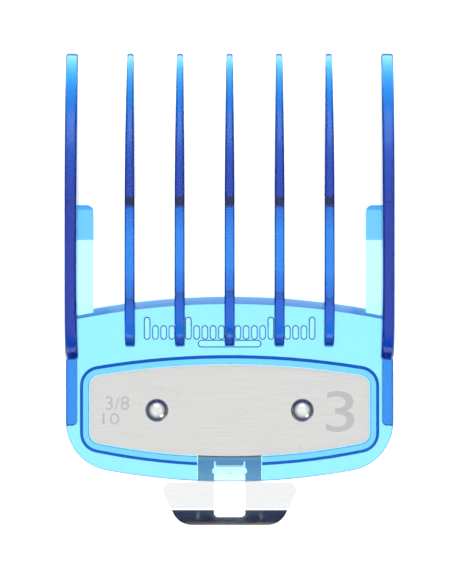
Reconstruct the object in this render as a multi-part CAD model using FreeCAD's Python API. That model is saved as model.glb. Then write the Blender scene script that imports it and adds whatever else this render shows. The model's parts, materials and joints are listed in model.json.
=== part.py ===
import FreeCAD, Part
import math
import os

# Push-on guard comb for a hair clipper, lying with its clipper side down.
# +X runs across the teeth, +Y from the spring clip to the tooth tips, +Z from the clipper to the skin.
# The model is drawn with y = 0 at the middle of the base plate's front edge, and z = 0 at the rails'
# lower edges. The last step centres it on its length.

V = FreeCAD.Vector

# ---------------------------------------------------------------- driving dimensions, mm

# Base plate and side rails
body_width = 50.0          # across the rails' outer faces
body_length = 28.6         # base plate on its centre line
base_thick = 2.4
seat_height = 4.2          # blade seat above the rails' lower edges
front_edge_r = 120.0       # the front edge bulges towards the teeth
rear_edge_r = 104.0
rear_corner_r = 7.6
edge_round = 0.5           # rounding of the base plate's side and rear edges
front_lip = 0.45           # thin lip ahead of the front edge
front_lip_thick = 0.6
front_slope_back = 1.5     # the front slope starts this far behind the front edge
front_slope_deg = 55.0
front_cove_r = 0.6         # hollow rounding between the slope and the lip
rail_thick = 1.65
rail_rear = 20.1           # rail's rear end, behind the front edge
rail_front = 14.1          # rail's front end, ahead of the front edge
rail_end_round = 0.7
rail_edge_round = 0.3

# Teeth
cut_length = 10.0          # blade seat to the teeth's skin-side edge
tooth_reach = 36.8         # front edge of the base to the tooth tips
tooth_pitch = 7.57
inner_teeth = 5
tooth_width = 1.6
tooth_draft = 0.03         # each side loses this much from the seat to the skin-side edge
tip_width = 1.0
outer_width = 1.9
outer_heel_width = 2.05    # the outer teeth thicken inwards at their rear end
outer_heel_run = 2.5       # length of that thickening
outer_waist = 0.05         # the outer teeth are this much thinner beside the base plate
inner_heel = 8.05          # teeth's rear ends, behind the front edge
outer_heel = 10.0
heel_step = 0.6            # upright foot of the heel, above the base plate
heel_r = 6.5
back_r = 30.0              # long arc from the heel to the crown
crown_front = 14.0         # where the crown turns down to the tip
tip_r = 1.0
tip_above_seat = 0.5       # centre of the rounded tip
nose_above_rest = 0.5      # lowest point of the inner teeth, before rounding
nose_rear = 14.3           # back of the nose, just ahead of the blade
nose_r = 1.2
relief_above_seat = 3.0    # hair gap over the blade's cutting edge
relief_front = 9.5
relief_rear = 4.0          # ahead of the front edge
relief_r = 1.8
nose_back_rise = 0.8       # top of the nose's back above the blade seat
taper_back = 1.5           # the sides start to taper this far behind the relief's front
taper_mid = 14.8           # behind the tips, where the width is down to the share below
taper_mid_share = 0.91
taper_front = 5.7
taper_front_share = 0.765
inner_edge_round = 0.36
outer_edge_round = 0.42

# Corner ledges with the pockets for the blade's front corners
ledge_front = 13.6         # ahead of the front edge
ledge_width = 2.3
ledge_thick = 1.5
ledge_gap = 0.15           # ledge underside above the blade seat
pocket_depth = 2.0         # blade thickness that the pockets take
pocket_lip_thick = 1.5
pocket_lip_length = 5.3
stop_thick = 0.7
ledge_corner_r = 1.0

# Number plate, its recess and the raised rim
plate_width = 42.6
plate_front = 10.8         # behind the front edge, on the centre line
plate_length = 13.9
plate_thick = 0.5
plate_corner_r = 1.5
plate_front_r = 122.0
plate_rear_r = 100.0
recess_depth = 0.6
recess_floor = 1.3         # plastic between the recess and the clip's pocket
plate_gap = 0.12           # between the plate's edge and the foot of the recess wall
rim_width = 0.77           # flat top of the rim
rim_height = 0.85
rim_inner_slope = 0.13     # widths of the rim's sloping sides
rim_outer_slope = 0.5

# Bridge over the clip's neck
neck_width = 9.7
neck_gap = 0.12
bridge_inset = 0.02        # bridge's sides stand inside the channel's by this much
bridge_front = 25.3        # behind the front edge
pip_count = 3
pip_pitch = 2.1
pip_r = 0.55
pip_height = 0.14

# Rivets
rivet_spacing = 22.18
rivet_back = 17.7          # behind the front edge
rivet_r = 1.0
rivet_head_r = 1.75
rivet_head_height = 1.05
rivet_head_side = 0.15
rivet_tail_r = 1.6
rivet_tail_height = 0.3
rivet_gap = 0.05

# Spring clip
strip_thick = 0.5
clip_base_width = 27.8
clip_base_front = 14.0
clip_base_rear = 21.7
clip_base_corner_r = 1.5
clip_pocket_gap = 0.25
flex_back = 24.8           # the neck's bending line, behind the front edge
flex_gap = 0.05            # fixed end to the moving end
bend_r = 0.65              # centre line of the hook's root bend
lip_bend_r = 1.3           # centre line of the lip's bend
wing_gap = 0.2             # body's rear edge to the wings
tab_length = 4.25          # wings' front edge to the middle of the lip's bend
lip_angle = 50.0
clip_overhang = 6.6        # body's rear edge to the lip's end
tab_front_half = 10.95     # half widths at the corners of the tab's outline, before rounding
tab_rear_half = 7.74
tab_front_r = 1.2
tab_rear_r = 3.2
wing_root_r = 0.15
window_half = 2.37
window_front = 25.5
window_rear = 34.0
window_front_r = 0.15
window_rear_r = 0.7
hook_half = 2.15
hook_bend_back = 25.4      # where the hook leaves the neck
hook_root = 0.3            # length of the hook's root in the neck
hook_bump = 0.6            # forward bulge that holds the blade's rear edge
hook_bump_above_rest = 1.7
hook_bump_rise = 1.25      # from the bulge up to the straight part
hook_upper_r = 0.5
hook_bump_r = 0.45
hook_lead_in = 0.35
hook_clear = 0.25          # middle of the hook's lower end above the rest plane
lift_deg = 10.0            # travel of the clip
lift_spare_deg = 1.0       # relief under the bridge beyond that travel

# Shallow moulded marks on the blade seat
mark_depth = 0.25
mark_slope = 0.16          # width of the marks' sloping sides
tick_count = 21
tick_pitch = 1.26
tick_width = 0.7
tick_long = 3.2
tick_short = 1.9
tick_front = 3.6           # behind the front edge
bar_length = 9.4
bar_width = 0.85
bar_back = 7.55

# Construction allowances
past = 1.0                 # cutting shapes reach this far beyond what they cut
sunk = 0.3                 # added shapes start this far inside what they stand on

# ---------------------------------------------------------------- sizes that follow

half_width = body_width / 2
base_top = seat_height + base_thick
crown_z = seat_height + cut_length
relief_z = seat_height + relief_above_seat
plate_rear = plate_front + plate_length
floor_z = base_top - recess_depth
plate_top = floor_z + plate_thick
rim_top = base_top + rim_height
clip_pocket_top = floor_z - recess_floor
strip_mid_z = clip_pocket_top - strip_thick / 2
strip_low_z = clip_pocket_top - strip_thick
channel_half = neck_width / 2 + neck_gap
bridge_half = channel_half - bridge_inset
model_shift = -(tooth_reach - body_length - clip_overhang) / 2


# ---------------------------------------------------------------- small helpers

def fused(shapes):
    """One solid from overlapping shapes."""
    result = shapes[0].multiFuse(shapes[1:]) if len(shapes) > 1 else shapes[0]
    result = result.removeSplitter()
    return result.Solids[0] if len(result.Solids) == 1 else result


def box(x0, x1, y0, y1, z0, z1):
    return Part.makeBox(x1 - x0, y1 - y0, z1 - z0, V(x0, y0, z0))


def rounded_wire(corners):
    """Closed wire through (point, radius) corners, each corner rounded by its radius."""
    edges = []
    count = len(corners)
    starts = []
    ends = []
    arcs = []
    for i, (point, radius) in enumerate(corners):
        before = corners[i - 1][0]
        after = corners[(i + 1) % count][0]
        u = (before - point).normalize()
        w = (after - point).normalize()
        if radius <= 0:
            starts.append(point)
            ends.append(point)
            arcs.append(None)
            continue
        half = u.getAngle(w) / 2
        reach = radius / math.tan(half)
        bisector = (u + w).normalize()
        centre = point + bisector * (radius / math.sin(half))
        starts.append(point + u * reach)
        ends.append(point + w * reach)
        arcs.append(centre - bisector * radius)
    for i in range(count):
        if arcs[i] is not None:
            edges.append(Part.Arc(starts[i], arcs[i], ends[i]).toShape())
        following = starts[(i + 1) % count]
        if (following - ends[i]).Length > 1e-6:
            edges.append(Part.makeLine(ends[i], following))
    return Part.Wire(edges)


def prism(wire, direction):
    return Part.Face(wire).extrude(direction)


def arched_wire(half, front, front_r, rear, rear_r, front_corner, rear_corner, z):
    """Outline with straight sides and outward arcs at front and rear; front and rear are y values
    on the centre line, and the corners are tangent to side and arc."""
    front_centre = front - front_r
    rear_centre = rear + rear_r
    fx = half - front_corner
    fy = front_centre + math.sqrt((front_r - front_corner) ** 2 - fx ** 2)
    rx = half - rear_corner
    ry = rear_centre - math.sqrt((rear_r - rear_corner) ** 2 - rx ** 2)
    ft = front_r / (front_r - front_corner)
    rt = rear_r / (rear_r - rear_corner)
    front_meet = V(fx * ft, front_centre + (fy - front_centre) * ft, z)
    rear_meet = V(rx * rt, rear_centre + (ry - rear_centre) * rt, z)

    def mirrored(p):
        return V(-p.x, p.y, p.z)

    def corner_mid(cx, cy, radius, meet):
        mid = (meet - V(cx, cy, z)).normalize() + V(1, 0, 0)
        return V(cx, cy, z) + mid.normalize() * radius

    front_mid = corner_mid(fx, fy, front_corner, front_meet)
    rear_mid = corner_mid(rx, ry, rear_corner, rear_meet)
    front_side = V(half, fy, z)
    rear_side = V(half, ry, z)
    edges = [
        Part.Arc(mirrored(front_meet), V(0, front, z), front_meet),
        Part.Arc(front_meet, front_mid, front_side),
        Part.LineSegment(front_side, rear_side),
        Part.Arc(rear_side, rear_mid, rear_meet),
        Part.Arc(rear_meet, V(0, rear, z), mirrored(rear_meet)),
        Part.Arc(mirrored(rear_meet), mirrored(rear_mid), mirrored(rear_side)),
        Part.LineSegment(mirrored(rear_side), mirrored(front_side)),
        Part.Arc(mirrored(front_side), mirrored(front_mid), mirrored(front_meet)),
    ]
    return Part.Wire([edge.toShape() for edge in edges])


def plate_wire(offset, z):
    """The number plate's outline, grown by offset."""
    return arched_wire(
        plate_width / 2 + offset, -plate_front + offset, plate_front_r + offset,
        -plate_rear - offset, plate_rear_r + offset,
        plate_corner_r + offset, plate_corner_r + offset, z)


def front_edge_y(x):
    """Where the base plate's front edge lies at x."""
    return math.sqrt(front_edge_r ** 2 - x ** 2) - front_edge_r


def edges_at_height(shape, z, keep):
    """Edges that lie wholly at height z and pass the test keep(edge)."""
    found = []
    for edge in shape.Edges:
        limits = edge.BoundBox
        if abs(limits.ZMin - z) < 1e-4 and abs(limits.ZMax - z) < 1e-4 and keep(edge):
            found.append(edge)
    return found


def strip_profile(path, thick):
    """Side view, in the YZ plane, of a strip bent along path, a list of (y, z, bend radius) points."""
    points = [V(0, y, z) for y, z, radius in path]
    sides = []
    for side in (1, -1):
        line = []
        for i, point in enumerate(points):
            before = (point - points[i - 1]).normalize() if i > 0 else None
            after = (points[i + 1] - point).normalize() if i < len(points) - 1 else None
            ahead = after if before is None else before
            normal = V(0, -ahead.z, ahead.y) * side
            if before is None or after is None:
                line.append((point + normal * (thick / 2), 0))
                continue
            turn = before.y * after.z - before.z * after.y
            half = before.getAngle(after) / 2
            bisector = (V(0, -before.z, before.y) + V(0, -after.z, after.y)).normalize() * side
            radius = path[i][2] - math.copysign(thick / 2, turn * side)
            line.append((point + bisector * (thick / 2 / math.cos(half)), radius))
        sides.append(line)
    return rounded_wire(sides[0] + sides[1][::-1])


# ---------------------------------------------------------------- comb moulding

def front_slope():
    """What is cut away above the plate's front: a steep slope that runs out into the lip in a cove."""
    lip_top = seat_height + front_lip_thick
    ahead = front_lip + past
    above = base_top + past
    run = (base_top - lip_top) / math.tan(math.radians(front_slope_deg))
    section = rounded_wire([
        (V(0, -front_slope_back, above), 0),
        (V(0, -front_slope_back, base_top), 0),
        (V(0, -front_slope_back + run, lip_top), front_cove_r),
        (V(0, ahead, lip_top), 0),
        (V(0, ahead, above), 0),
    ])
    centre = V(0, -front_edge_r, 0)
    half_turn = math.degrees(math.asin((half_width + past) / front_edge_r))
    face = Part.Face(section)
    face.rotate(centre, V(0, 0, 1), -half_turn)
    return face.revolve(centre, V(0, 0, 1), 2 * half_turn)


def base_plate():
    """Plate with rounded side and rear edges; its front slopes down to a thin lip."""
    outline = arched_wire(
        half_width, front_lip, front_edge_r + front_lip, -body_length, rear_edge_r,
        rail_end_round, rear_corner_r, seat_height)
    body = prism(outline, V(0, 0, base_thick))
    body = body.makeFillet(edge_round, edges_at_height(body, base_top, lambda edge: True))
    return body.cut(front_slope())


def tooth_profile(heel, underside):
    """Side view of a tooth. underside lists the corners from below the tip to the heel's buried foot;
    its first point is joined to the tip by an arc."""
    heel_centre = V(0, heel_r - heel, base_top + heel_step)
    drop = heel_centre.z - (crown_z - back_r)
    back_y = heel_centre.y + math.sqrt((back_r - heel_r) ** 2 - drop ** 2)
    back_centre = V(0, back_y, crown_z - back_r)
    tip_centre = V(0, tooth_reach - tip_r, seat_height + tip_above_seat)
    run = tip_centre.y - crown_front
    fall = crown_z - tip_centre.z
    front_r = (run ** 2 + fall ** 2 - tip_r ** 2) / (2 * (fall - tip_r))
    front_centre = V(0, crown_front, crown_z - front_r)
    tip_low = tip_centre - V(0, 0, tip_r)
    under_run = tip_low.y - underside[0].y
    under_fall = tip_low.z - underside[0].z
    under_r = (under_run ** 2 + under_fall ** 2) / (2 * under_fall)
    under_centre = tip_low - V(0, 0, under_r)

    def arc(centre, radius, start, end):
        middle = (start - centre).normalize() + (end - centre).normalize()
        return Part.Arc(start, centre + middle.normalize() * radius, end)

    heel_up = V(0, -heel, heel_centre.z)
    join = back_centre + (heel_centre - back_centre).normalize() * back_r
    back_end = V(0, back_y, crown_z)
    crown_end = V(0, crown_front, crown_z)
    tip_top = front_centre + (tip_centre - front_centre).normalize() * front_r
    edges = [
        Part.LineSegment(underside[-1], heel_up),
        arc(heel_centre, heel_r, heel_up, join),
        arc(back_centre, back_r, join, back_end),
        Part.LineSegment(back_end, crown_end),
        arc(front_centre, front_r, crown_end, tip_top),
        Part.Arc(tip_top, tip_centre + V(0, tip_r, 0), tip_low),
        arc(under_centre, under_r, tip_low, underside[0]),
    ]
    for start, end in zip(underside, underside[1:]):
        edges.append(Part.LineSegment(start, end))
    return Part.Wire([edge.toShape() for edge in edges])


def softened(slab, corners):
    """Rounds the slab's edges that run along X through the given (point, radius) corners."""
    for corner, radius in corners:
        found = []
        for edge in slab.Edges:
            limits = edge.BoundBox
            off = math.hypot(limits.YMin - corner.y, limits.ZMin - corner.z)
            if limits.XLength > 1 and limits.YLength + limits.ZLength < 1e-3 and off < 1e-3:
                found.append(edge)
        slab = slab.makeFillet(radius, found)
    return slab


def drafted_slab(profile, flank):
    """A tooth's profile given thickness from x = 0. flank lists (y, x of the flank at the seat), and
    the flank leans in by the draft upwards."""
    sections = []
    lean = tooth_draft / cut_length
    low = -past
    high = crown_z + past
    for y, x in flank:
        corners = [
            V(-past, y, low),
            V(x - lean * (low - seat_height), y, low),
            V(x - lean * (high - seat_height), y, high),
            V(-past, y, high),
        ]
        sections.append(Part.makePolygon(corners + corners[:1]))
    return profile.common(Part.makeLoft(sections, True, False)).Solids[0]


def rounded_flanks(solid, radius, keep):
    """Rounds the long edges between a tooth's flanks and its rim that pass the test keep(middle)."""
    chosen = []
    for edge in solid.Edges:
        middle = edge.valueAt((edge.FirstParameter + edge.LastParameter) / 2)
        if edge.BoundBox.XLength < tip_width / 3 and keep(middle):
            chosen.append(edge)
    return solid.makeFillet(radius, chosen)


def inner_tooth(x):
    """Made as its right half and mirrored."""
    root_y = front_edge_y(x)
    foot_z = seat_height + front_lip_thick
    nose = V(0, nose_rear, nose_above_rest)
    nose_back = V(0, nose_rear, seat_height + nose_back_rise)
    relief_start = V(0, relief_front, relief_z)
    relief_end = V(0, relief_rear + root_y, relief_z)
    root = V(0, root_y - sunk, foot_z)
    underside = [nose, nose_back, relief_start, relief_end, root, V(0, -inner_heel, foot_z)]
    slab = softened(prism(tooth_profile(inner_heel, underside), V(2 * tooth_width, 0, 0)), [
        (nose, nose_r), (nose_back, relief_r), (relief_start, relief_r), (relief_end, relief_r)])
    half = tooth_width / 2
    solid = drafted_slab(slab, [
        (-inner_heel - past, half),
        (relief_front - taper_back, half),
        (tooth_reach - taper_mid, half * taper_mid_share),
        (tooth_reach - taper_front, half * taper_front_share),
        (tooth_reach + past, tip_width / 2),
    ])

    def in_view(p):
        return p.x > tip_width / 4 and (p.z > base_top or p.y > root_y + sunk)

    solid = rounded_flanks(solid, inner_edge_round, in_view)
    return fused([solid, solid.mirror(V(0, 0, 0), V(1, 0, 0))]).translate(V(x, 0, 0))


def outer_tooth():
    """The left one; its outer face is at x = 0 here and its inner flank faces +x."""
    foot_z = seat_height + front_lip_thick
    end_y = rail_front - rail_edge_round * 2
    underside = [V(0, end_y, rail_edge_round / 2), V(0, end_y, foot_z), V(0, -outer_heel, foot_z)]
    slab = prism(tooth_profile(outer_heel, underside), V(2 * outer_width, 0, 0))
    waist = outer_width - outer_waist
    solid = drafted_slab(slab, [
        (-outer_heel - past, outer_heel_width),
        (-outer_heel + outer_heel_run, (outer_heel_width + waist) / 2),
        (0, waist),
        (relief_front, waist),
        (tooth_reach - taper_mid, outer_width),
        (tooth_reach + past, outer_width),
    ])

    def in_view(p):
        return p.z > base_top or p.y > rail_front

    return rounded_flanks(solid, outer_edge_round, in_view)


def side_rail():
    """The left rail, outer face at x = 0."""
    solid = box(0, rail_thick, -rail_rear, rail_front, 0, seat_height + base_thick / 2)
    uprights = []
    for edge in solid.Edges:
        if edge.CenterOfMass.y < -rail_rear + 1e-3 and edge.BoundBox.ZLength > seat_height:
            uprights.append(edge)
    solid = solid.makeFillet(rail_end_round, uprights)
    return solid.makeFillet(rail_edge_round, edges_at_height(solid, 0, lambda edge: True))


def corner_ledge():
    """The left ledge, its stop and its pocket's lip; x = 0 is the rail's outer face."""
    inner_x = outer_width + ledge_width
    overlap = outer_width / 2
    low_lip = seat_height - pocket_depth - pocket_lip_thick
    ledge_low = seat_height + ledge_gap
    outline = rounded_wire([
        (V(overlap, front_edge_y(half_width) - front_slope_back, low_lip), 0),
        (V(inner_x, front_edge_y(half_width - inner_x) - front_slope_back, low_lip), 0),
        (V(inner_x, ledge_front, low_lip), ledge_corner_r),
        (V(overlap, ledge_front, low_lip), 0),
    ])
    column = prism(outline, V(0, 0, ledge_low + ledge_thick - low_lip))
    far = front_edge_y(half_width) - front_slope_back - past
    side = inner_x + past
    under_ledge = box(-past, side, far, ledge_front - pocket_lip_length, low_lip - past, ledge_low)
    pocket = box(-past, side, far, ledge_front - stop_thick, low_lip + pocket_lip_thick, ledge_low)
    return column.cut(under_ledge).cut(pocket)


def left_side():
    return fused([outer_tooth(), side_rail(), corner_ledge()]).translate(V(-half_width, 0, 0))


def tapered_outline(low_offset, low_z, high_offset, high_z):
    """Solid between the plate's outline grown by one offset and, higher up, by another."""
    return Part.makeLoft([plate_wire(low_offset, low_z), plate_wire(high_offset, high_z)], True, True)


def rim():
    """Raised bead with sloping sides, open where the bridge crosses it; the recess hollows it out."""
    top_edge = plate_gap + rim_inner_slope + rim_width
    foot = top_edge + rim_outer_slope * (1 + sunk / rim_height)
    bead = tapered_outline(foot, base_top - sunk, top_edge, rim_top)
    gap = box(
        -bridge_half, bridge_half, -plate_rear - foot - past, -plate_rear + past,
        base_top, rim_top + past)
    return bead.cut(gap)


def recess():
    lean = rim_inner_slope / (rim_top - floor_z)
    height = rim_top - floor_z + past
    outline = tapered_outline(plate_gap, floor_z, plate_gap + lean * height, floor_z + height)
    mouth = box(-bridge_half, bridge_half, -bridge_front, -plate_rear + past, floor_z, rim_top + past)
    return fused([outline, mouth])


def clip_pocket():
    """Pocket for the clip's base and the channel for its neck, with a rising roof that lets it lift."""
    gap = clip_pocket_gap
    half = clip_base_width / 2 + gap
    depth = clip_pocket_top - seat_height
    low = seat_height - past
    wide = rounded_wire([
        (V(-half, -clip_base_front + gap, low), clip_base_corner_r + gap),
        (V(half, -clip_base_front + gap, low), clip_base_corner_r + gap),
        (V(half, -clip_base_rear - gap, low), clip_base_corner_r + gap),
        (V(-half, -clip_base_rear - gap, low), clip_base_corner_r + gap),
    ])
    pocket = prism(wide, V(0, 0, depth + past))
    slope = math.tan(math.radians(lift_deg + lift_spare_deg))
    rear = -body_length - past
    ramp_start = -flex_back + strip_thick
    front = -clip_base_rear + past
    roof = Part.makePolygon([
        V(-channel_half, front, low),
        V(-channel_half, front, clip_pocket_top),
        V(-channel_half, ramp_start, clip_pocket_top),
        V(-channel_half, rear, clip_pocket_top + slope * (ramp_start - rear)),
        V(-channel_half, rear, low),
        V(-channel_half, front, low),
    ])
    channel = prism(roof, V(2 * channel_half, 0, 0))
    return fused([pocket, channel])


def rivet_places():
    return [V(-rivet_spacing / 2, -rivet_back, 0), V(rivet_spacing / 2, -rivet_back, 0)]


def rivet_holes():
    return [Part.makeCylinder(rivet_r + rivet_gap, base_top + past, place) for place in rivet_places()]


def stadium(x, y, length, width, z):
    """Outline of a round-ended bar centred on x and y, its length along X if that is the larger size."""
    a = length / 2
    b = width / 2
    r = min(a, b)
    return rounded_wire([
        (V(x - a, y - b, z), r), (V(x + a, y - b, z), r), (V(x + a, y + b, z), r), (V(x - a, y + b, z), r)])


def sunk_mark(x, y, length, width):
    """What is cut out of the blade seat for one mark, with sloping sides."""
    spread = 2 * mark_slope * (1 + past / mark_depth)
    mouth = stadium(x, y, length + spread, width + spread, seat_height - past)
    roof = stadium(x, y, length, width, seat_height + mark_depth)
    return Part.makeLoft([mouth, roof], True, True)


def seat_marks():
    """A graduated row of ticks and one long bar, sunk into the blade seat."""
    marks = [sunk_mark(0, -bar_back, bar_length, bar_width)]
    for i in range(tick_count):
        x = (i - (tick_count - 1) / 2) * tick_pitch
        length = tick_long if i % 5 == 0 else tick_short
        marks.append(sunk_mark(x, -tick_front - tick_long + length / 2, tick_width, length))
    return marks


def bridge_pips():
    """Three low raised dots on the bridge."""
    pips = []
    cap_r = (pip_r ** 2 + pip_height ** 2) / (2 * pip_height)
    y = -(bridge_front + body_length) / 2
    for i in range(pip_count):
        x = (i - (pip_count - 1) / 2) * pip_pitch
        ball = Part.makeSphere(cap_r, V(x, y, base_top + pip_height - cap_r), V(1, 0, 0))
        pips.append(ball.common(Part.makeCylinder(pip_r, sunk + past, V(x, y, base_top - sunk))))
    return pips


def comb_moulding():
    left = left_side()
    right = left.mirror(V(0, 0, 0), V(1, 0, 0))
    middle = (inner_teeth - 1) / 2
    teeth = [inner_tooth((i - middle) * tooth_pitch) for i in range(inner_teeth)]
    solid = fused([base_plate(), rim(), left, right] + teeth + bridge_pips())
    return solid.cut([recess(), clip_pocket()] + rivet_holes() + seat_marks())


# ---------------------------------------------------------------- metal pieces

def face_plate():
    return prism(plate_wire(0, floor_z), V(0, 0, plate_thick)).cut(rivet_holes())


def rivet(place):
    """Domed head, shank and flattened tail, as one turned piece."""
    cap = rivet_head_height - rivet_head_side
    cap_r = (rivet_head_r ** 2 + cap ** 2) / (2 * cap)
    head_z = plate_top + rivet_head_side
    top_z = plate_top + rivet_head_height
    lean = math.asin(rivet_head_r / cap_r) / 2
    cap_mid = V(cap_r * math.sin(lean), 0, top_z - cap_r + cap_r * math.cos(lean))
    tail_z = strip_low_z - rivet_tail_height
    outline = [
        Part.Arc(V(0, 0, top_z), cap_mid, V(rivet_head_r, 0, head_z)).toShape(),
        Part.makeLine(V(rivet_head_r, 0, head_z), V(rivet_head_r, 0, plate_top)),
        Part.makeLine(V(rivet_head_r, 0, plate_top), V(rivet_r, 0, plate_top)),
        Part.makeLine(V(rivet_r, 0, plate_top), V(rivet_r, 0, strip_low_z)),
        Part.makeLine(V(rivet_r, 0, strip_low_z), V(rivet_tail_r, 0, strip_low_z)),
        Part.makeLine(V(rivet_tail_r, 0, strip_low_z), V(rivet_tail_r, 0, tail_z)),
        Part.makeLine(V(rivet_tail_r, 0, tail_z), V(0, 0, tail_z)),
        Part.makeLine(V(0, 0, tail_z), V(0, 0, top_z)),
    ]
    turned = Part.Face(Part.Wire(outline)).revolve(V(0, 0, 0), V(0, 0, 1), 360)
    return turned.translate(place)


def clip_base():
    """Riveted half of the strip, with the fixed part of the neck."""
    half = clip_base_width / 2
    neck = neck_width / 2
    end = -flex_back + strip_thick / 2 + flex_gap
    corner = clip_base_corner_r
    outline = rounded_wire([
        (V(-half, -clip_base_front, strip_low_z), corner),
        (V(half, -clip_base_front, strip_low_z), corner),
        (V(half, -clip_base_rear, strip_low_z), corner),
        (V(neck, -clip_base_rear, strip_low_z), clip_pocket_gap),
        (V(neck, end, strip_low_z), 0),
        (V(-neck, end, strip_low_z), 0),
        (V(-neck, -clip_base_rear, strip_low_z), clip_pocket_gap),
        (V(-half, -clip_base_rear, strip_low_z), corner),
    ])
    return prism(outline, V(0, 0, strip_thick)).cut(rivet_holes())


def lip_path():
    """Centre line of the moving strip, from the bending line to the lip's end."""
    bend_y = -body_length - wing_gap - tab_length
    angle = math.radians(lip_angle)
    end_y = -body_length - clip_overhang + strip_thick / 2 * math.sin(angle)
    end_z = strip_mid_z + (bend_y - end_y) * math.tan(angle)
    return [(-flex_back, strip_mid_z, 0), (bend_y, strip_mid_z, lip_bend_r), (end_y, end_z, 0)]


def tab_outline(z):
    """Plan of the moving strip: neck, wings and the rounded rear corners."""
    front = -body_length - wing_gap
    rear = -body_length - clip_overhang
    neck = neck_width / 2
    start = -flex_back + strip_thick
    return rounded_wire([
        (V(-neck, start, z), 0),
        (V(-neck, front, z), wing_root_r),
        (V(-tab_front_half, front, z), tab_front_r),
        (V(-tab_rear_half, rear, z), tab_rear_r),
        (V(tab_rear_half, rear, z), tab_rear_r),
        (V(tab_front_half, front, z), tab_front_r),
        (V(neck, front, z), wing_root_r),
        (V(neck, start, z), 0),
    ])


def hook_path():
    """Centre line of the tongue that is bent down out of the window to catch the blade."""
    down_y = -hook_bend_back - bend_r
    return [
        (-hook_bend_back + hook_root, strip_mid_z, 0),
        (down_y, strip_mid_z, bend_r),
        (down_y, hook_bump_above_rest + hook_bump_rise, hook_upper_r),
        (down_y + hook_bump, hook_bump_above_rest, hook_bump_r),
        (down_y + hook_bump - hook_lead_in, hook_clear, 0),
    ]


def clip_lever():
    """Moving half of the strip: neck end, tab with its wings, lip, window and hook."""
    wide = tab_front_half + past
    sheet = prism(strip_profile(lip_path(), strip_thick), V(2 * wide, 0, 0)).translate(V(-wide, 0, 0))
    pivot_end = Part.makeCylinder(
        strip_thick / 2, neck_width, V(-neck_width / 2, -flex_back, strip_mid_z), V(1, 0, 0))
    sheet = sheet.common(prism(tab_outline(0), V(0, 0, crown_z)))
    window = prism(rounded_wire([
        (V(-window_half, -window_front, 0), window_front_r),
        (V(window_half, -window_front, 0), window_front_r),
        (V(window_half, -window_rear, 0), window_rear_r),
        (V(-window_half, -window_rear, 0), window_rear_r),
    ]), V(0, 0, crown_z))
    hook = prism(strip_profile(hook_path(), strip_thick), V(2 * hook_half, 0, 0))
    return fused([sheet.cut(window), hook.translate(V(-hook_half, 0, 0)), pivot_end])


# ---------------------------------------------------------------- output

def save(name, shape):
    placed = shape.copy().translate(V(0, model_shift, 0))
    placed.exportStep(f"parts/{name}.step")
    limits = placed.BoundBox
    print(f"{name}: {len(placed.Solids)} solid, valid {placed.isValid()}, volume {placed.Volume:.1f}, "
          f"x {limits.XMin:.2f} to {limits.XMax:.2f}, y {limits.YMin:.2f} to {limits.YMax:.2f}, "
          f"z {limits.ZMin:.2f} to {limits.ZMax:.2f}")


def main():
    os.makedirs("parts", exist_ok=True)
    left_place, right_place = rivet_places()
    save("comb_moulding", comb_moulding())
    save("face_plate", face_plate())
    save("clip_base", clip_base())
    save("clip_lever", clip_lever())
    save("rivet_left", rivet(left_place))
    save("rivet_right", rivet(right_place))


main()
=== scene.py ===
import json
import math

import bmesh
import bpy
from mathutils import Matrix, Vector


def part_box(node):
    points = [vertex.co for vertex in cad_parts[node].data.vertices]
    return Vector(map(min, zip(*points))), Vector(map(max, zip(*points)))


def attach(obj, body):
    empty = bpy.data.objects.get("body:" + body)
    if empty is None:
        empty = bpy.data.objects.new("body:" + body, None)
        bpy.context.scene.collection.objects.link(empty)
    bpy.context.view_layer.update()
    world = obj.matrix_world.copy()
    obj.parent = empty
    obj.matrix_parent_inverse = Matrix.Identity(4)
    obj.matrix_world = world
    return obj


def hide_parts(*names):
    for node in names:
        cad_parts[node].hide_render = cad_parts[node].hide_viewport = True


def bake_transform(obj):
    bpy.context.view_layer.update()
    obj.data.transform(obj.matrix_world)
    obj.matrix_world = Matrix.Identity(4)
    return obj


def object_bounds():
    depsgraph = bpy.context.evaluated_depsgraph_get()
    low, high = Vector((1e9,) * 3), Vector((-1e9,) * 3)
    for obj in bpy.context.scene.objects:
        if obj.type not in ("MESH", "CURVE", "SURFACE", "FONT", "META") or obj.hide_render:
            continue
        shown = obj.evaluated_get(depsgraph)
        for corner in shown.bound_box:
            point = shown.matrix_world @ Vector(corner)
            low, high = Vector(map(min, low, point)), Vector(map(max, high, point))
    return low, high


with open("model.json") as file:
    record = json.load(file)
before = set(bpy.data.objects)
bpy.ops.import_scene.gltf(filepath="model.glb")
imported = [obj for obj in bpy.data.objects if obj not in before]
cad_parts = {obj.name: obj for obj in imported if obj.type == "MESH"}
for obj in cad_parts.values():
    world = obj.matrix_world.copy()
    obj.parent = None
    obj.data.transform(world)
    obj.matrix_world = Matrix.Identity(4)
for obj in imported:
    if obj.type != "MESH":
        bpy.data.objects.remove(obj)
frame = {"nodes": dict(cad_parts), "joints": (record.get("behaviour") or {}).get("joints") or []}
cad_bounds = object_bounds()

MM = 0.001
WELD = 0.001 * MM           # vertices closer than this are one

low = Vector(cad_bounds[0])
nodes = frame["nodes"]


# ---------------------------------------------------------------- small helpers

def new_material(name):
    """A material with only its output node."""
    material = bpy.data.materials.new(name)
    material.use_nodes = True
    tree = material.node_tree
    tree.nodes.clear()
    output = tree.nodes.new("ShaderNodeOutputMaterial")
    return material, tree, output


def add(tree, kind, **values):
    """A node of that kind; values name its properties or, failing that, its input sockets."""
    node = tree.nodes.new(kind)
    for key, value in values.items():
        if hasattr(node, key):
            setattr(node, key, value)
        else:
            node.inputs[key.replace("_", " ")].default_value = value
    return node


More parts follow.
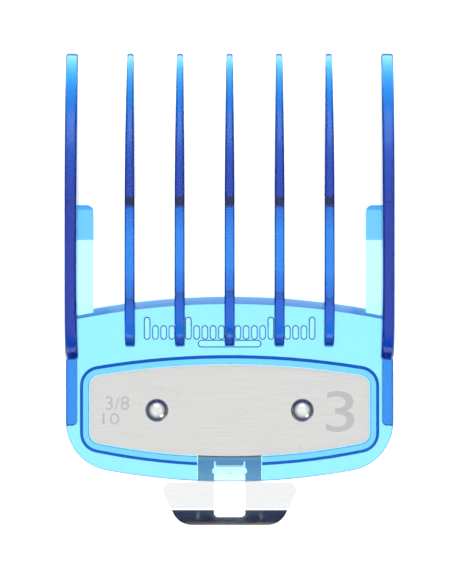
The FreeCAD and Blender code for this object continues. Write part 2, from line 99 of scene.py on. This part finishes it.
def ramp(tree, source, stops):
    """Colour ramp through (position, colour) stops, driven by the source socket."""
    node = add(tree, "ShaderNodeValToRGB")
    elements = node.color_ramp.elements
    while len(elements) < len(stops):
        elements.new(0.5)
    for element, (position, colour) in zip(elements, stops):
        element.position = position
        element.color = (*colour, 1.0)
    tree.links.new(source, node.inputs["Fac"])
    return node.outputs["Color"]


def stretched_noise(tree, stretch, turn=0.0, detail=3.0):
    """Noise in the object's own coordinates, stretched by three scales and turned about Z."""
    place = add(tree, "ShaderNodeTexCoord")
    mapping = add(tree, "ShaderNodeMapping")
    mapping.inputs["Scale"].default_value = stretch
    turned = add(tree, "ShaderNodeVectorRotate", rotation_type="Z_AXIS", Angle=turn)
    noise = add(tree, "ShaderNodeTexNoise", Scale=1.0, Detail=detail)
    tree.links.new(place.outputs["Object"], turned.inputs["Vector"])
    tree.links.new(turned.outputs["Vector"], mapping.inputs["Vector"])
    tree.links.new(mapping.outputs["Vector"], noise.inputs["Vector"])
    return noise.outputs["Fac"]


def dress(piece, material):
    """Gives every face of a piece one material."""
    piece.data.materials.clear()
    piece.data.materials.append(material)


def linked(name, mesh):
    piece = bpy.data.objects.new(name, mesh)
    bpy.context.scene.collection.objects.link(piece)
    return piece


# ---------------------------------------------------------------- materials

def tinted_plastic():
    """Clear blue moulding: the tint is in its depth, the surface is a fine satin."""
    material, tree, output = new_material("tinted_plastic")
    links = tree.links
    shader = add(tree, "ShaderNodeBsdfPrincipled")
    shader.inputs["Base Color"].default_value = (0.90, 0.98, 1.0, 1.0)
    shader.inputs["IOR"].default_value = 1.5
    shader.inputs["Specular IOR Level"].default_value = 0.12
    shader.inputs["Transmission Weight"].default_value = 1.0
    grain = stretched_noise(tree, (7000.0, 7000.0, 7000.0), detail=2.0)
    links.new(ramp(tree, grain, [(0.3, (0.10,) * 3), (0.7, (0.20,) * 3)]), shader.inputs["Roughness"])
    bump = add(tree, "ShaderNodeBump", Strength=0.12, Distance=0.00002)
    links.new(grain, bump.inputs["Height"])
    links.new(bump.outputs["Normal"], shader.inputs["Normal"])
    depth = add(tree, "ShaderNodeVolumeAbsorption", Density=1000.0)
    depth.inputs["Color"].default_value = (0.30, 0.71, 0.885, 1.0)
    haze = add(tree, "ShaderNodeBsdfDiffuse", Color=(0.03, 0.09, 0.62, 1.0))
    surface = add(tree, "ShaderNodeMixShader")
    surface.inputs["Fac"].default_value = 0.06
    links.new(shader.outputs["BSDF"], surface.inputs[1])
    links.new(haze.outputs["BSDF"], surface.inputs[2])
    links.new(surface.outputs["Shader"], output.inputs["Surface"])
    links.new(depth.outputs["Volume"], output.inputs["Volume"])
    return material


def steel(name, colour, roughness, stretch, strength, contrast):
    """Steel with fine rolling or brushing lines; stretch is the lines' scale along X, Y and Z."""
    material, tree, output = new_material(name)
    links = tree.links
    shader = add(tree, "ShaderNodeBsdfPrincipled")
    shader.inputs["Metallic"].default_value = 1.0
    lines = stretched_noise(tree, stretch)
    darker = tuple(value * (1 - contrast) for value in colour)
    lighter = tuple(min(value * (1 + contrast), 1.0) for value in colour)
    links.new(ramp(tree, lines, [(0.3, darker), (0.7, lighter)]), shader.inputs["Base Color"])
    rougher = ramp(tree, lines, [(0.3, (roughness * 1.25,) * 3), (0.7, (roughness * 0.8,) * 3)])
    links.new(rougher, shader.inputs["Roughness"])
    bump = add(tree, "ShaderNodeBump", Strength=strength, Distance=0.00001)
    links.new(lines, bump.inputs["Height"])
    links.new(bump.outputs["Normal"], shader.inputs["Normal"])
    links.new(shader.outputs["BSDF"], output.inputs["Surface"])
    return material


def scratched(material, turn, stretch, edge, darkening):
    """Adds a few short scratches to a steel: where stretched noise passes the edge value."""
    tree = material.node_tree
    shader = next(node for node in tree.nodes if node.type == "BSDF_PRINCIPLED")
    colour = shader.inputs["Base Color"].links[0].from_socket
    marks = ramp(tree, stretched_noise(tree, stretch, turn, 1.0), [
        (edge, (1.0,) * 3), (edge + 0.03, (darkening,) * 3)])
    mixed = add(tree, "ShaderNodeMix", data_type="RGBA", blend_type="MULTIPLY")
    mixed.inputs["Factor"].default_value = 1.0
    tree.links.new(colour, mixed.inputs[6])
    tree.links.new(marks, mixed.inputs[7])
    tree.links.new(mixed.outputs[2], shader.inputs["Base Color"])
    return material


plate_steel = steel("brushed_plate", (0.66, 0.658, 0.65), 0.33, (220.0, 30000.0, 220.0), 0.2, 0.05)
scratched(plate_steel, math.radians(52), (450.0, 9000.0, 450.0), 0.755, 0.45)
clip_steel = steel("spring_steel", (0.79, 0.795, 0.80), 0.17, (300.0, 12000.0, 300.0), 0.05, 0.03)
rivet_steel = steel("rivet_steel", (0.78, 0.79, 0.80), 0.16, (1600.0, 1600.0, 1600.0), 0.3, 0.10)
mark_steel = steel("etched_mark", (0.50, 0.503, 0.508), 0.36, (220.0, 30000.0, 220.0), 0.2, 0.05)

dress(nodes["comb_moulding"], tinted_plastic())
dress(nodes["face_plate"], plate_steel)
dress(nodes["rivet_left"], rivet_steel)
dress(nodes["rivet_right"], rivet_steel)


def rounded_edges(piece, width, angle):
    """Breaks a metal piece's sheared edges."""
    piece.modifiers.new("weld", "WELD").merge_threshold = WELD
    bevel = piece.modifiers.new("broken_edges", "BEVEL")
    bevel.width = width
    bevel.segments = 3
    bevel.limit_method = "ANGLE"
    bevel.angle_limit = math.radians(angle)
    bevel.harden_normals = True


rounded_edges(nodes["face_plate"], 0.07 * MM, 40)


# ---------------------------------------------------------------- spring clip

def spring_clip():
    """The strip in one piece: both CAD halves welded over the gap between them, and cut across in rows
    about the joint's pivot.
    """
    neck_half = 4.85 * MM
    bend_reach = 0.5 * MM
    rows = 6
    weld_reach = 0.6 * MM
    pivot = Vector(frame["joints"][0]["pos_m"])
    base_low, base_high = (Vector(corner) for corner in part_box("clip_base"))
    halves = [linked(name + "_copy", nodes[name].data.copy()) for name in ("clip_base", "clip_lever")]
    for half in halves:
        form = bmesh.new()
        form.from_mesh(half.data)
        bmesh.ops.remove_doubles(form, verts=form.verts, dist=WELD)
        form.to_mesh(half.data)
        form.free()
    form = bmesh.new()
    bmesh.ops.create_cube(form, size=1.0)
    for vertex in form.verts:
        vertex.co = (
            vertex.co.x * 2 * neck_half,
            pivot.y + vertex.co.y * 2 * weld_reach,
            (base_low.z + base_high.z) / 2 + vertex.co.z * (base_high.z - base_low.z))
    mesh = bpy.data.meshes.new("weld")
    form.to_mesh(mesh)
    form.free()
    weld = linked("weld", mesh)
    strip, lever = halves
    for other in (lever, weld):
        union = strip.modifiers.new("union", "BOOLEAN")
        union.operation = "UNION"
        union.solver = "EXACT"
        union.object = other
    bpy.context.view_layer.update()
    whole = bpy.data.meshes.new_from_object(strip.evaluated_get(bpy.context.evaluated_depsgraph_get()))
    for extra in (strip, lever, weld):
        bpy.data.objects.remove(extra)
    form = bmesh.new()
    form.from_mesh(whole)
    bmesh.ops.remove_doubles(form, verts=form.verts, dist=2 * WELD)
    bmesh.ops.dissolve_limit(form, angle_limit=math.radians(1), verts=form.verts, edges=form.edges)
    for row in range(-rows, rows + 1):
        cut = (0, pivot.y + bend_reach * row / rows, 0)
        everything = form.verts[:] + form.edges[:] + form.faces[:]
        bmesh.ops.bisect_plane(form, geom=everything, plane_co=cut, plane_no=(0, 1, 0))
    form.to_mesh(whole)
    form.free()
    piece = linked("spring_clip", whole)
    for face in whole.polygons:
        face.use_smooth = True
    dress(piece, clip_steel)
    rounded_edges(piece, 0.15 * MM, 35)
    even = piece.modifiers.new("flats_stay_flat", "WEIGHTED_NORMAL")
    even.weight = 80
    even.keep_sharp = True
    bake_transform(piece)
    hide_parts("clip_base", "clip_lever")
    return piece


spring_clip()


# ---------------------------------------------------------------- etched numbers on the plate

def etched_number(name, text, centre, width, height):
    """A number as a film on the plate's upper face."""
    film = 0.004 * MM
    letters = bpy.data.curves.new(name, "FONT")
    letters.body = text
    letters.resolution_u = 6
    draft = linked(name + "_draft", letters)
    bpy.context.view_layer.update()
    mesh = bpy.data.meshes.new_from_object(draft.evaluated_get(bpy.context.evaluated_depsgraph_get()))
    bpy.data.objects.remove(draft)
    mesh.name = name
    first, last = (
        Vector(pick(vertex.co[axis] for vertex in mesh.vertices) for axis in range(3))
        for pick in (min, max))
    middle = (first + last) / 2
    span = last - first
    for vertex in mesh.vertices:
        vertex.co = (
            centre[0] + (vertex.co.x - middle.x) * width / span.x,
            centre[1] + (vertex.co.y - middle.y) * height / span.y,
            plate_high.z + film)
    piece = linked(name, mesh)
    dress(piece, mark_steel)
    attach(piece, "comb")
    return piece


plate_low, plate_high = (Vector(corner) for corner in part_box("face_plate"))
plate_middle = (plate_low.y + plate_high.y) / 2
etched_number(
    "mark_size", "3", (plate_high.x - 4.45 * MM, plate_middle - 0.15 * MM), 4.3 * MM, 6.25 * MM)
etched_number(
    "mark_inch", "3/8", (plate_low.x + 4.2 * MM, plate_middle + 1.15 * MM), 3.6 * MM, 2.1 * MM)
etched_number(
    "mark_metric", "10", (plate_low.x + 3.2 * MM, plate_middle - 1.25 * MM), 2.6 * MM, 1.7 * MM)


# ---------------------------------------------------------------- stage, light and camera

def floor():
    """Pale floor. What the clear plastic lets through it sees the light table in the world instead."""
    half_width = 2.0
    clearance = 0.02 * MM
    mesh = bpy.data.meshes.new("floor")
    form = bmesh.new()
    bmesh.ops.create_grid(form, x_segments=1, y_segments=1, size=half_width)
    form.to_mesh(mesh)
    form.free()
    piece = linked("floor", mesh)
    piece.location = (0, 0, low.z - clearance)
    material, tree, output = new_material("floor_white")
    matt = add(tree, "ShaderNodeBsdfDiffuse", Color=(0.85, 0.85, 0.85, 1.0))
    glow = add(tree, "ShaderNodeEmission", Strength=0.95)
    both = add(tree, "ShaderNodeAddShader")
    clear = add(tree, "ShaderNodeBsdfTransparent")
    path = add(tree, "ShaderNodeLightPath")
    choice = add(tree, "ShaderNodeMixShader")
    tree.links.new(matt.outputs["BSDF"], both.inputs[0])
    tree.links.new(glow.outputs["Emission"], both.inputs[1])
    tree.links.new(path.outputs["Is Transmission Ray"], choice.inputs["Fac"])
    tree.links.new(both.outputs["Shader"], choice.inputs[1])
    tree.links.new(clear.outputs["BSDF"], choice.inputs[2])
    tree.links.new(choice.outputs["Shader"], output.inputs["Surface"])
    material.cycles.emission_sampling = "NONE"
    dress(piece, material)
    return piece


def area_light(name, azimuth, tilt, distance, size, radiance):
    """Softbox aimed at the guard; tilt is its angle from the zenith, azimuth from +X, in degrees."""
    lamp = bpy.data.lights.new(name, "AREA")
    lamp.shape = "RECTANGLE"
    lamp.size, lamp.size_y = size
    lamp.energy = radiance * size[0] * size[1] * math.pi
    piece = linked(name, lamp)
    a, t = math.radians(azimuth), math.radians(tilt)
    place = Vector((math.cos(a) * math.sin(t), math.sin(a) * math.sin(t), math.cos(t))) * distance
    piece.location = place
    piece.rotation_euler = (-place).to_track_quat("-Z", "Y").to_euler()
    return piece


def world_light(table, around, stops):
    """Grey studio above; below, a light table that shines upwards in a narrow cone.

    Dim blue surrounds the table. The floor hides both from all but rays that the plastic lets through.
    """
    world = bpy.data.worlds.new("studio")
    bpy.context.scene.world = world
    world.use_nodes = True
    world.cycles.sampling_method = "NONE"
    tree = world.node_tree
    back = tree.nodes["Background"]
    place = add(tree, "ShaderNodeTexCoord")
    parts = add(tree, "ShaderNodeSeparateXYZ")
    height = add(tree, "ShaderNodeMapRange")
    height.inputs["From Min"].default_value = -1.0
    tree.links.new(place.outputs["Generated"], parts.inputs["Vector"])
    tree.links.new(parts.outputs["Z"], height.inputs["Value"])
    cone = math.cos(math.radians(23))       # the table is full bright this far from straight down
    fade = math.cos(math.radians(36))       # and has faded into its surround here
    horizon = 0.49
    below = [((1 - cone) / 2, (table,) * 3), ((1 - fade) / 2, around), (horizon, around)]
    above = [(place_at, (level,) * 3) for place_at, level in stops]
    colours = [(place_at, tuple(part / table for part in level)) for place_at, level in below + above]
    tree.links.new(ramp(tree, height.outputs["Result"], colours), back.inputs["Color"])
    back.inputs["Strength"].default_value = table


def camera():
    """Looks straight down on the guard through a long lens."""
    view_width = 70.9 * MM
    distance = 0.9
    sensor_width = 36.0
    base_top = 6.6 * MM
    lens_data = bpy.data.cameras.new("camera")
    lens_data.sensor_fit = "HORIZONTAL"
    lens_data.sensor_width = sensor_width
    lens_data.lens = sensor_width * distance / view_width
    lens_data.clip_start = 0.01
    lens_data.clip_end = 20.0
    piece = linked("camera", lens_data)
    piece.location = (0.44 * MM, 0.6 * MM, base_top + distance)
    bpy.context.scene.camera = piece


floor()
world_light(2.2, (0.06, 0.30, 0.85), [(0.51, 0.10), (0.66, 0.13), (0.78, 0.55), (0.86, 0.95), (1.0, 1.15)])
area_light("front_box", 93, 42, 0.9, (0.55, 0.3), 1.4)
area_light("rear_box", -50, 64, 0.9, (0.34, 0.30), 1.7)
camera()
scene = bpy.context.scene
scene.view_settings.view_transform = "Standard"
scene.cycles.max_bounces = 32
scene.cycles.glossy_bounces = 24
scene.cycles.transmission_bounces = 24
scene.cycles.transparent_max_bounces = 24
